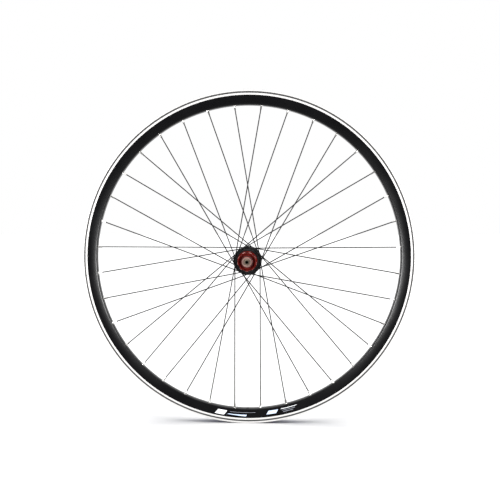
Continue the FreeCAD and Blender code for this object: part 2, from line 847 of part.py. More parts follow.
def make_ratchet_ring():
    """Toothed ring fixed in the shell. Each valley has one steep face for a pawl's tip."""
    ratchet = ring(
        "ratchet_ring",
        "dim.ratchet_tip_r",
        "dim.ratchet_outer_r",
        "dim.ratchet_y - dim.ratchet_width",
        "dim.ratchet_y",
    )
    steep = "(90 - dim.tooth_face_lag)"
    far = "(90 - dim.tooth_face_lag + dim.tooth_valley)"

    def corner(radius, degrees):
        return "(%s) * cos(%s * 1 deg)" % (radius, degrees), "(%s) * sin(%s * 1 deg)" % (radius, degrees)

    def draw(sketch):
        draw_loop(
            sketch,
            [
                corner("dim.ratchet_tip_r - 0.9", steep),
                corner("dim.ratchet_root_r", steep),
                corner("dim.ratchet_tip_r - 0.15", far),
                corner("dim.ratchet_tip_r - 0.9", far),
            ],
        )

    start = "dim.ratchet_y - dim.ratchet_width - 1"
    valley = cut_along_axle(ratchet, "tooth_valley", draw, start, "dim.ratchet_width + 2")
    repeat_round(ratchet, "tooth_valleys", [valley], "dim.ratchet_teeth")


def make_pawl(number):
    """One pawl, pressed into its pocket: a round pivot and a tapered arm to the tip."""
    body = DOC.addObject("PartDesign::Body", "pawl_%d" % number)

    def draw_round(sketch):
        draw_circle(sketch, "0", "dim.pawl_pivot_r", "dim.pawl_round_r")

    def draw_arm(sketch):
        draw_loop(
            sketch,
            [
                ("0", "dim.pawl_pivot_r - dim.pawl_half"),
                ("dim.pawl_reach - dim.pawl_undercut", "dim.pawl_pivot_r - dim.pawl_half"),
                ("dim.pawl_reach", "dim.pawl_pivot_r + dim.pawl_tip_rise"),
                ("0", "dim.pawl_pivot_r + dim.pawl_half"),
            ],
        )

    start = "dim.pawl_y - dim.pawl_length / 2"
    add_along_axle(body, "pawl_round_%d" % number, draw_round, start, "dim.pawl_length")
    add_along_axle(body, "pawl_arm_%d" % number, draw_arm, start, "dim.pawl_length")
    turn = 360.0 / size("pawl_count") * (number - 1)
    body.Placement = FreeCAD.Placement(V(0, 0, 0), FreeCAD.Rotation(AXLE_LINE, turn))


def make_pawl_springs():
    """Folded leaf springs that lift the pawls, one on each pocket's floor."""
    floor = size("pocket_floor") + 0.02
    thick = size("spring_thickness")
    start = size("pawl_y") - 1.5
    corners = [
        V(7.9, start, floor),
        V(2.2, start, floor),
        V(5.8, start, floor + 0.7),
        V(5.8, start, floor + 0.7 - thick),
        V(4.4, start, floor + thick),
        V(7.9, start, floor + thick),
    ]
    leaf = Part.Face(Part.makePolygon(corners + corners[:1])).extrude(V(0, 3, 0))
    solids = []
    for number in range(int(size("pawl_count"))):
        copy = leaf.copy()
        copy.rotate(V(0, 0, 0), AXLE_LINE, 360.0 / size("pawl_count") * number)
        solids.append(copy)
    group("pawl_springs", solids)


def make_hub_seal():
    """Seal ring in the mouth of the ratchet's housing."""
    ring(
        "hub_seal",
        "dim.seal_ring_r",
        "dim.ratchet_outer_r",
        "dim.shell_drive_end_y",
        "dim.shell_drive_end_y + dim.seal_ring_width",
    )


def main():
    """Build every sub-part, check it and write it out."""
    make_rim()
    make_rim_tape()
    make_spokes()
    make_nipples()
    make_eyelets()
    make_hub_shell()
    make_axle()
    make_right_end_cap()
    make_left_end_cap()
    make_spacers()
    make_bearing("hub_right", "hub", "hub_right_bearing_y", 7)
    make_bearing("hub_left", "hub", "hub_left_bearing_y", 7)
    make_bearing("freehub_outer", "free", "free_outer_bearing_y", 10)
    make_bearing("freehub_inner", "free", "free_inner_bearing_y", 10)
    make_freehub_body()
    make_ratchet_ring()
    for number in range(1, int(size("pawl_count")) + 1):
        make_pawl(number)
    make_pawl_springs()
    make_hub_seal()
    DOC.recompute()
    write_parts()


def write_parts():
    """Check that every object is sound, and export one STEP file for each sub-part."""
    for item in DOC.Objects:
        if "Invalid" in item.State or "Error" in item.State:
            raise RuntimeError("%s doesn't compute: %s" % (item.Label, item.State))
    os.makedirs("parts", exist_ok=True)
    for item in DOC.Objects:
        if item.TypeId in ("PartDesign::Body", "Part::Feature"):
            shape = item.Shape
            if shape.isNull() or not shape.isValid() or not shape.Solids:
                raise RuntimeError("%s has no sound solid" % item.Label)
            shape.exportStep("parts/%s.step" % item.Label)
            print("%-26s %3d solids %12.2f mm3" % (item.Label, len(shape.Solids), shape.Volume))


main()
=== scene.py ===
"""Looks of a bare spoked rear bicycle wheel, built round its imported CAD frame.

The wheel's centre is the origin, +Y runs along the axle from the drive side to the other
side and +Z is up. Every length is in metres.
"""

import logging
import math
from dataclasses import dataclass, field
from enum import Enum
from typing import Optional, Sequence

import bmesh
import bpy
from mathutils import Matrix, Vector

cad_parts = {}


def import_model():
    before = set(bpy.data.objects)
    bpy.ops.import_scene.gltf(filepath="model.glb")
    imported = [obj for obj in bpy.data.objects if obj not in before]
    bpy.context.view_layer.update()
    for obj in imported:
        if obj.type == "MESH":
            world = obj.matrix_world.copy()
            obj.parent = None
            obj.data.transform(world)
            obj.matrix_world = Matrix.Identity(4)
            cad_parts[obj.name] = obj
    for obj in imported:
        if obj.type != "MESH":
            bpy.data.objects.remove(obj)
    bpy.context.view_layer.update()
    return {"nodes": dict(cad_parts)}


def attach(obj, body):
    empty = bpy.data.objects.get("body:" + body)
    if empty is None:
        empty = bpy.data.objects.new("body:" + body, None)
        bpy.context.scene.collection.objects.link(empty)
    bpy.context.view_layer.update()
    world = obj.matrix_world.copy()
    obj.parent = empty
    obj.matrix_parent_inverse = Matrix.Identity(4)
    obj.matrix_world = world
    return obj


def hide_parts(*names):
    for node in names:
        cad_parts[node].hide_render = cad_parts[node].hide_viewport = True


LOG = logging.getLogger("rear_wheel")

Colour = tuple[float, float, float]
Socket = bpy.types.NodeSocket
Nodes = dict[str, bpy.types.Object]


class Side(Enum):
    """Which face of the wheel a piece is on, as the sign of its place along the axle."""

    DRIVE = -1
    LEFT = 1


class Ink(Enum):
    """The inks of the printed flashes, by the names of their finishes."""

    WHITE = "white_ink"
    BLUE = "pale_blue_ink"
    GREY = "grey_ink"


# Shader building


def scaled(colour: Colour, factor: float) -> Colour:
    """A colour made lighter or darker by a factor."""
    return colour[0] * factor, colour[1] * factor, colour[2] * factor


class Shader:
    """A material with one Principled shader and short calls for the nodes that feed it."""

    def __init__(self, name: str) -> None:
        """Make an empty material.

        Args:
            name: the material's name.
        """
        self.material = bpy.data.materials.new(name)
        self.material.use_nodes = True
        self.tree = self.material.node_tree
        self.bsdf = self.tree.nodes["Principled BSDF"]

    def _node(self, kind: str, **settings: object) -> bpy.types.Node:
        """Add one node and set its properties.

        Args:
            kind: the node's type.
            **settings: its properties by name.

        Returns:
            The new node.
        """
        node = self.tree.nodes.new(kind)
        for key, value in settings.items():
            setattr(node, key, value)
        return node

    def _feed(self, socket: Socket, value: object) -> None:
        """Link a socket, or set a plain value.

        Args:
            socket: the socket to feed.
            value: another node's output, or a number, vector or colour.
        """
        if isinstance(value, bpy.types.NodeSocket):
            self.tree.links.new(value, socket)
        else:
            socket.default_value = value

    def place(self) -> Socket:
        """The point on the wheel, in metres."""
        return self._node("ShaderNodeTexCoord").outputs["Object"]

    def split(self, vector: Socket) -> tuple[Socket, Socket, Socket]:
        """Take a vector apart.

        Args:
            vector: the vector's socket.

        Returns:
            The sockets of its three parts.
        """
        node = self._node("ShaderNodeSeparateXYZ")
        self._feed(node.inputs[0], vector)
        return node.outputs[0], node.outputs[1], node.outputs[2]

    def join(self, x: object, y: object, z: object) -> Socket:
        """Put a vector together.

        Args:
            x: its first part, as a number or a socket.
            y: its second part.
            z: its third part.

        Returns:
            The vector's socket.
        """
        node = self._node("ShaderNodeCombineXYZ")
        for socket, value in zip(node.inputs, (x, y, z)):
            self._feed(socket, value)
        return node.outputs[0]

    def maths(self, operation: str, a: object, b: object = 0.0, clamp: bool = False) -> Socket:
        """Do one arithmetic step on two numbers.

        Args:
            operation: the Math node's operation.
            a: the first number or socket.
            b: the second one, where the operation needs it.
            clamp: whether the result is kept between 0 and 1.

        Returns:
            The result's socket.
        """
        node = self._node("ShaderNodeMath", operation=operation, use_clamp=clamp)
        self._feed(node.inputs[0], a)
        self._feed(node.inputs[1], b)
        return node.outputs[0]

    def inverse(self, value: Socket) -> Socket:
        """One less a value from 0 to 1."""
        return self.maths("SUBTRACT", 1.0, value)

    def step(self, value: Socket, low: float, high: float) -> Socket:
        """Make a soft step.

        Args:
            value: the value's socket.
            low: where the step is still 0.
            high: where it has reached 1.

        Returns:
            The step's socket.
        """
        node = self._node("ShaderNodeMapRange", interpolation_type="SMOOTHSTEP")
        for key, amount in (("Value", value), ("From Min", low), ("From Max", high)):
            self._feed(node.inputs[key], amount)
        return node.outputs["Result"]

    def spread(self, value: Socket, low: float, high: float) -> Socket:
        """Stretch a 0 to 1 value.

        Args:
            value: the value's socket.
            low: what 0 becomes.
            high: what 1 becomes.

        Returns:
            The stretched value's socket.
        """
        node = self._node("ShaderNodeMapRange")
        for key, amount in (("Value", value), ("To Min", low), ("To Max", high)):
            self._feed(node.inputs[key], amount)
        return node.outputs["Result"]

    def noise(self, vector: Socket, scale: float, detail: float, rough: float) -> Socket:
        """Make cloudy noise from 0 to 1.

        Args:
            vector: where it is read.
            scale: how many clouds fit in a metre.
            detail: how many finer layers it has.
            rough: how strong the finer layers are.

        Returns:
            The noise's socket.
        """
        node = self._node("ShaderNodeTexNoise")
        for key, amount in (("Vector", vector), ("Scale", scale), ("Detail", detail), ("Roughness", rough)):
            self._feed(node.inputs[key], amount)
        return node.outputs["Fac"]

    def blend(self, factor: object, a: object, b: object) -> Socket:
        """A mix of two colours.

        Args:
            factor: 0 for the first colour, 1 for the second.
            a: the first colour, as three numbers or a socket.
            b: the second colour.

        Returns:
            The mixed colour's socket.
        """
        node = self._node("ShaderNodeMix", data_type="RGBA")
        self._feed(node.inputs[0], factor)
        for socket, value in ((node.inputs[6], a), (node.inputs[7], b)):
            self._feed(socket, (*value, 1.0) if isinstance(value, tuple) else value)
        return node.outputs[2]

    def bump(self, height: Socket, depth: float, strength: float) -> None:
        """Raise the surface by a height from 0 to 1, on top of what raises it already.

        Args:
            height: the height's socket.
            depth: metres between height 0 and height 1.
            strength: how much of the effect is used.
        """
        node = self._node("ShaderNodeBump")
        for key, amount in (("Strength", strength), ("Distance", depth), ("Height", height)):
            self._feed(node.inputs[key], amount)
        if self.bsdf.inputs["Normal"].is_linked:
            self._feed(node.inputs["Normal"], self.bsdf.inputs["Normal"].links[0].from_socket)
        self._feed(self.bsdf.inputs["Normal"], node.outputs["Normal"])

    def set(self, **values: object) -> None:
        """Give the shader's own sockets a value or a link.

        Args:
            **values: the values by socket name, with _ for a space.
        """
        for key, value in values.items():
            socket = self.bsdf.inputs[key.replace("_", " ")]
            self._feed(socket, (*value, 1.0) if isinstance(value, tuple) and len(value) == 3 else value)

    def round_axle(self) -> tuple[Socket, Socket]:
        """Measure a point from the axle.

        Returns:
            The sockets of its distance from the axle line, and of its place along it.
        """
        x, y, z = self.split(self.place())
        square = self.maths("ADD", self.maths("MULTIPLY", x, x), self.maths("MULTIPLY", z, z))
        return self.maths("SQRT", square), y

    def lathe_lines(self, radius: Socket, along: Socket, pitch: float) -> Socket:
        """Fine turning lines that circle the axle, as a height from 0 to 1.

        Args:
            radius: distance from the axle line.
            along: place along the axle.
            pitch: about how far apart the lines are.

        Returns:
            The height's socket.
        """
        travel = self.maths("ADD", radius, along)
        line = self.join(self.maths("MULTIPLY", travel, 1.0 / pitch), 0.0, 0.0)
        return self.noise(line, scale=1.0, detail=2.0, rough=0.6)


# Finishes


@dataclass(frozen=True)
class RimFinish:
    """Gloss black anodising, cut back to bare metal on the two brake tracks, with painted shade round the
    track groove and on the outer edge.
    """

    name: str = "rim_black_with_machined_tracks"
    track_start: float = 0.3080
    track_half: float = 0.0109
    blur: float = 0.0001
    groove: float = 0.3129
    # Painted shade round the groove: half width of the dark band, and the share of it that is fully dark.
    groove_shade_half: float = 0.0020
    groove_shade_core: float = 0.6
    edge: float = 0.3169
    black: Colour = (0.0016, 0.0016, 0.0020)
    metal: Colour = (0.62, 0.61, 0.60)
    rubbed_metal: Colour = (0.52, 0.50, 0.48)
    # Colour of the painted shade round the groove.
    groove_shade: Colour = (0.035, 0.035, 0.035)
    # Colour and strength of the painted shade on the rounded outer edge.
    edge_shade: Colour = (0.34, 0.33, 0.33)
    edge_shade_share: float = 0.3
    rough_low: float = 0.20
    rough_high: float = 0.30
    track_dullness: float = 0.24
    track_metallic: float = 0.30
    specular: float = 0.36
    line_pitch: float = 0.00022
    line_depth: float = 0.000012
    grit_depth: float = 0.000004

    def material(self) -> bpy.types.Material:
        """Build the rim's material.

        Returns:
            The material.
        """
        s = Shader(self.name)
        radius, along = s.round_axle()
        outward = s.maths("ABSOLUTE", along)
        on_side = s.step(outward, self.track_half - 3 * self.blur, self.track_half - self.blur)
        on_track = s.step(radius, self.track_start - self.blur, self.track_start + self.blur)
        bare = s.maths("MULTIPLY", on_track, on_side)
        # Painted shade: a dark band wider than the groove darkens the track in and around it and takes away
        # its metal sheen.
        off_groove = s.maths("ABSOLUTE", s.maths("SUBTRACT", radius, self.groove))
        groove = s.inverse(s.step(off_groove, self.groove_shade_half * self.groove_shade_core, self.groove_shade_half))
        edge = s.step(radius, self.edge - self.blur, self.edge + 2 * self.blur)
        lines = s.lathe_lines(radius, along, self.line_pitch)
        cloud = s.noise(s.place(), scale=18.0, detail=4.0, rough=0.55)
        fine = s.noise(s.place(), scale=160.0, detail=3.0, rough=0.6)
        grit = s.noise(s.place(), scale=1400.0, detail=2.0, rough=0.6)
        rubbed = s.maths("MULTIPLY", s.step(cloud, 0.50, 0.75), s.spread(fine, 0.05, 0.22))
        track = s.blend(lines, scaled(self.metal, 0.93), self.metal)
        track = s.blend(rubbed, track, self.rubbed_metal)
        track = s.blend(groove, track, self.groove_shade)
        # Painted shade: the rounded outer edge is pulled part way towards a dull grey.
        track = s.blend(s.maths("MULTIPLY", edge, self.edge_shade_share), track, self.edge_shade)
        black = s.blend(cloud, scaled(self.black, 0.7), scaled(self.black, 1.5))
        gloss = s.spread(cloud, self.rough_low, self.rough_high)
        s.set(
            Base_Color=s.blend(bare, black, track),
            Metallic=s.maths("MULTIPLY", s.maths("SUBTRACT", bare, groove, True), self.track_metallic),
            Roughness=s.maths("ADD", gloss, s.maths("MULTIPLY", bare, self.track_dullness)),
            Specular_IOR_Level=self.specular,
        )
        s.bump(s.maths("MULTIPLY", lines, bare), self.line_depth, strength=0.8)
        s.bump(grit, self.grit_depth, strength=0.25)
        return s.material


@dataclass(frozen=True)
class TurnedFinish:
    """Metal turned on a lathe: fine rings round the axle, clouded polish and worn high spots.

    A bore above 0 is the radius inside which painted shade makes it near black and dull, and a
    lip above 0 the radius outside which it turns a dark red.
    """

    name: str
    colour: Colour
    shade: Colour
    metallic: float = 1.0
    rough_low: float = 0.22
    rough_high: float = 0.36
    specular: float = 0.5
    line_pitch: float = 0.00018
    line_depth: float = 0.000010
    grit_depth: float = 0.000003
    mottle: float = 90.0
    bore: float = 0.0
    bore_blur: float = 0.00006
    # Colour of the painted shade inside the bore.
    bore_shade: Colour = (0.012, 0.009, 0.006)
    lip: float = 0.0
    lip_blur: float = 0.0014
    lip_wander: float = 0.0005
    # Colour of the dark red ring outside the lip radius.
    lip_dark_red: Colour = (0.19, 0.028, 0.022)

    def material(self) -> bpy.types.Material:
        """Build this finish's material.

        Returns:
            The material.
        """
        s = Shader(self.name)
        radius, along = s.round_axle()
        lines = s.lathe_lines(radius, along, self.line_pitch)
        cloud = s.noise(s.place(), scale=self.mottle, detail=4.0, rough=0.55)
        tone = s.maths("ADD", s.maths("MULTIPLY", cloud, 0.6), s.maths("MULTIPLY", lines, 0.4))
        # Painted shade: inside the bore the metal gives way to a near black, dull colour with no metal
        # sheen, for the dark of the hollow axle.
        outside = s.step(radius, self.bore, self.bore + self.bore_blur)
        colour = s.blend(s.step(tone, 0.30, 0.70), self.shade, self.colour)
        # A dark red ring on the outer edge of the face, with a wavering inner border.
        if self.lip:
            wavering_radius = s.maths("ADD", radius, s.spread(cloud, -self.lip_wander, self.lip_wander))
            colour = s.blend(s.step(wavering_radius, self.lip, self.lip + self.lip_blur), colour, self.lip_dark_red)
        polish = s.spread(cloud, self.rough_low, self.rough_high)
        s.set(
            Base_Color=s.blend(outside, self.bore_shade, colour),
            Metallic=s.maths("MULTIPLY", outside, self.metallic),
            Roughness=s.maths("MAXIMUM", polish, s.inverse(outside)),
            Specular_IOR_Level=self.specular,
        )
        s.bump(lines, self.line_depth, strength=0.7)
        s.bump(s.noise(s.place(), scale=2600.0, detail=2.0, rough=0.6), self.grit_depth, strength=0.3)
        return s.material


@dataclass(frozen=True)
class SplineFinish:
    """Red anodising, rubbed back to bare metal on the splines' tips at the mouth and in nicks; the pale
    tips are partly real wear and partly a painted highlight on the spline edges.
    """

    name: str = "freehub_red_anodised"
    tip_radius: float = 0.01715
    tip_blur: float = 0.00015
    mouth: float = -0.0630
    mouth_blur: float = 0.0018
    line_pitch: float = 0.00016
    line_depth: float = 0.000010
    nick_depth: float = 0.000020
    red: Colour = (0.37, 0.032, 0.025)
    dark_red: Colour = (0.18, 0.015, 0.012)
    # Pale colour of the tips: partly real wear, partly a painted highlight.
    bare: Colour = (0.66, 0.52, 0.48)
    metallic: float = 0.9
    rough_low: float = 0.24
    rough_high: float = 0.38

    def material(self) -> bpy.types.Material:
        """Build the freehub body's material.

        Returns:
            The material.
        """
        s = Shader(self.name)
        radius, along = s.round_axle()
        lines = s.lathe_lines(radius, along, self.line_pitch)
        cloud = s.noise(s.place(), scale=160.0, detail=4.0, rough=0.6)
        nicks = s.noise(s.place(), scale=620.0, detail=3.0, rough=0.65)
        # The pale tips are partly real wear and partly a painted highlight for glints along the spline
        # edges.
        tips = s.step(radius, self.tip_radius, self.tip_radius + self.tip_blur)
        mouth = s.inverse(s.step(along, self.mouth, self.mouth + self.mouth_blur))
        worn_and_glinting_mouth = s.maths("MULTIPLY", mouth, s.step(nicks, 0.26, 0.46))
        rubbed = s.maths("MAXIMUM", worn_and_glinting_mouth, s.step(nicks, 0.60, 0.72))
        colour = s.blend(cloud, self.dark_red, self.red)
        s.set(
            Base_Color=s.blend(s.maths("MULTIPLY", tips, rubbed), colour, self.bare),
            Metallic=self.metallic,
            Roughness=s.spread(cloud, self.rough_low, self.rough_high),
        )
        s.bump(lines, self.line_depth, strength=0.6)
        s.bump(nicks, self.nick_depth, strength=0.3)
        return s.material


@dataclass(frozen=True)
class DrawnFinish:
    """Wire drawn through a die: small scuffs and a thin oxide that varies in depth."""

    name: str
    colour: Colour
    shade: Colour
    metallic: float
    rough_low: float
    rough_high: float
    specular: float = 0.5
    grain_depth: float = 0.000006

    def material(self) -> bpy.types.Material:
        """Build this finish's material.

        Returns:
            The material.
        """
        s = Shader(self.name)
        cloud = s.noise(s.place(), scale=70.0, detail=4.0, rough=0.6)
        grain = s.noise(s.place(), scale=1900.0, detail=3.0, rough=0.6)
        s.set(
            Base_Color=s.blend(cloud, self.shade, self.colour),
            Metallic=self.metallic,
            Roughness=s.spread(grain, self.rough_low, self.rough_high),
            Specular_IOR_Level=self.specular,
        )
        s.bump(grain, self.grain_depth, strength=0.5)
        return s.material


@dataclass(frozen=True)
class MouldedFinish:
    """Moulded rubber or plastic, or ink: a skin with a fine grain and dusty patches."""

    name: str
    colour: Colour
    dust: Colour
    rough_low: float = 0.55
    rough_high: float = 0.75
    grain_scale: float = 1500.0
    grain_depth: float = 0.000015
    specular: float = 0.35

    def material(self) -> bpy.types.Material:
        """Build this finish's material.

        Returns:
            The material.
        """
        s = Shader(self.name)
        cloud = s.noise(s.place(), scale=120.0, detail=4.0, rough=0.6)
        grain = s.noise(s.place(), scale=self.grain_scale, detail=2.0, rough=0.5)
        s.set(
            Base_Color=s.blend(s.step(cloud, 0.45, 0.8), self.colour, self.dust),
            Roughness=s.spread(grain, self.rough_low, self.rough_high),
            Specular_IOR_Level=self.specular,
        )
        s.bump(grain, self.grain_depth, strength=0.6)
        return s.material


@dataclass(frozen=True)
class StudioPaper:
    """Pale paper for the floor."""

    name: str = "studio_paper"
    colour: Colour = (0.93, 0.93, 0.93)
    fibre: Colour = (0.95, 0.95, 0.95)
    rough: float = 0.9
    specular: float = 0.1

    def material(self) -> bpy.types.Material:
        """Build the floor's material.

        Returns:
            The material.
        """
        s = Shader(self.name)
        fibre = s.noise(s.place(), scale=40.0, detail=3.0, rough=0.5)
        s.set(
            Base_Color=s.blend(fibre, self.colour, self.fibre),
            Roughness=self.rough,
            Specular_IOR_Level=self.specular,
        )
        return s.material


def ink_finish(ink: Ink, colour: Colour, dust: Colour) -> MouldedFinish:
    """One printed ink: smoother and finer in grain than a moulded part.

    Args:
        ink: which ink it is.
        colour: its clean colour.
        dust: its dusty colour.

    Returns:
        The finish.
    """
    return MouldedFinish(
        ink.value, colour, dust, rough_low=0.3, rough_high=0.45, grain_scale=900.0, grain_depth=0.000004
    )


BRIGHT_ALUMINIUM = TurnedFinish("bright_aluminium", (0.80, 0.77, 0.75), (0.62, 0.60, 0.58))
# The right end cap turns dark red on its outer edge, outside the lip radius.
CAP_ALUMINIUM = TurnedFinish(
    "cap_aluminium", (0.70, 0.49, 0.43), (0.50, 0.34, 0.29), metallic=0.85, lip=0.0081
)
# The axle's bore is darkened with painted shade.
AXLE_STEEL = TurnedFinish("axle_steel", (0.36, 0.29, 0.22), (0.22, 0.17, 0.13), bore=0.0027)
GROUND_STEEL = TurnedFinish(
    "ground_steel", (0.78, 0.78, 0.80), (0.60, 0.60, 0.62), rough_low=0.10, rough_high=0.2
)
TOOL_STEEL = TurnedFinish(
    "tool_steel", (0.36, 0.36, 0.37), (0.22, 0.22, 0.23), rough_low=0.3, rough_high=0.5
)
HUB_BLACK = TurnedFinish(
    "hub_black_anodised", (0.010, 0.010, 0.011), (0.004, 0.004, 0.004), metallic=0.30, specular=0.32
)
SEAL_RUBBER = MouldedFinish("seal_rubber", (0.018, 0.018, 0.018), (0.05, 0.048, 0.045))
CAGE_PLASTIC = MouldedFinish(
    "cage_plastic", (0.42, 0.37, 0.26), (0.5, 0.46, 0.36), rough_low=0.4, rough_high=0.6
)
TAPE_PLASTIC = MouldedFinish(
    "tape_plastic", (0.04, 0.07, 0.30), (0.08, 0.11, 0.33), rough_low=0.35, rough_high=0.5
)
SPOKE_OXIDE = DrawnFinish(
    "spoke_black_oxide", (0.014, 0.014, 0.015), (0.004, 0.004, 0.004), metallic=0.3,
    rough_low=0.32, rough_high=0.5, specular=0.22,
)
NIPPLE_NICKEL = DrawnFinish(
    "nipple_nickel", (0.86, 0.85, 0.83), (0.70, 0.69, 0.67), metallic=1.0, rough_low=0.15, rough_high=0.35
)
EYELET_STEEL = DrawnFinish(
    "eyelet_steel", (0.85, 0.84, 0.82), (0.66, 0.65, 0.63), metallic=1.0, rough_low=0.18, rough_high=0.38
)
INKS = (
    (Ink.WHITE, (0.82, 0.83, 0.85), (0.72, 0.73, 0.76)),
    (Ink.BLUE, (0.52, 0.62, 0.78), (0.45, 0.55, 0.70)),
    (Ink.GREY, (0.22, 0.23, 0.26), (0.14, 0.15, 0.18)),
)


# Pieces


def dress(nodes: Nodes, names: Sequence[str], material: bpy.types.Material) -> list[bpy.types.Object]:
    """Give CAD nodes a material.

    Args:
        nodes: the frame's nodes by name.
        names: the nodes to dress.
        material: their new material.

    Returns:
        The dressed nodes.
    """
    for name in names:
        mesh = nodes[name].data
        mesh.materials.clear()
        mesh.materials.append(material)
    return [nodes[name] for name in names]


def link(name: str, shape: bmesh.types.BMesh) -> bpy.types.Object:
    """Put a shape into the scene.

    Args:
        name: the new object's name.
        shape: its shape, which is freed.

    Returns:
        The new object.
    """
    data = bpy.data.meshes.new(name)
    shape.to_mesh(data)
    shape.free()
    made = bpy.data.objects.new(name, data)
    bpy.context.scene.collection.objects.link(made)
    return made


def make_piece(
    name: str, shape: bmesh.types.BMesh, material: bpy.types.Material, body: str
) -> bpy.types.Object:
    """Turn a shape into a finished piece that rides on a body.

    Args:
        name: the piece's name.
        shape: its shape, which is freed.
        material: its material.
        body: the CAD body that carries it.

    Returns:
        The new piece.
    """
    smooth_by_angle(shape)
    piece = link(name, shape)
    piece.data.materials.append(material)
    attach(piece, body)
    return piece


def smooth_by_angle(shape: bmesh.types.BMesh, limit: float = 28.0) -> None:
    """Smooth every face, and keep edges sharper than a limit crisp.

    Args:
        shape: the shape.
        limit: the angle in degrees.
    """
    for face in shape.faces:
        face.smooth = True
    for edge in shape.edges:
        edge.smooth = len(edge.link_faces) == 2 and edge.calc_face_angle(0.0) < math.radians(limit)


def carved(name: str, shape: bmesh.types.BMesh, drills: bmesh.types.BMesh) -> bmesh.types.BMesh:
    """Cut drills out of a closed shape.

    Args:
        name: a name for the work.
        shape: the closed shape, which is freed.
        drills: the closed drills, which are freed.

    Returns:
        The drilled shape.
    """
    blank = link(name + "_blank", shape)
    cutter = link(name + "_drills", drills)
    cut = blank.modifiers.new("holes", "BOOLEAN")
    cut.operation = "DIFFERENCE"
    cut.solver = "EXACT"
    cut.object = cutter
    bpy.context.view_layer.update()
    result = bmesh.new()
    result.from_object(blank, bpy.context.evaluated_depsgraph_get())
    for part in (blank, cutter):
        data = part.data
        bpy.data.objects.remove(part)
        bpy.data.meshes.remove(data)
    return result


# Sub-assemblies


@dataclass(frozen=True)
class Flash:
    """One plain printed shape on a sloping face of the rim.

    It starts at an angle from the valve hole, counted to the right in degrees, and covers a
    sweep. It reaches from low to high, as shares of the face from the spoke bed to the track,
    or to high_end at its far end where it tapers. Its outer edge leads by the slant.
    """

    name: str
    ink: Ink
    start: float
    sweep: float
    low: float
    high: float
    slant: float
    high_end: Optional[float] = None


FLASHES = (
    Flash("block_left", Ink.WHITE, -11.1, 3.4, 0.30, 0.80, 1.0),
    Flash("streak_left", Ink.BLUE, -7.2, 7.0, 0.62, 0.80, 0.4, high_end=0.66),
    Flash("line_left", Ink.GREY, -6.6, 9.6, 0.36, 0.39, 0.1),
    Flash("block_right", Ink.BLUE, 8.0, 3.6, 0.30, 0.68, 1.0),
    Flash("bar_right_1", Ink.WHITE, 12.8, 6.0, 0.28, 0.33, 0.2),
    Flash("bar_right_2", Ink.GREY, 13.1, 4.9, 0.46, 0.51, 0.2),
    Flash("bar_right_3", Ink.GREY, 13.4, 3.8, 0.64, 0.69, 0.2),
)


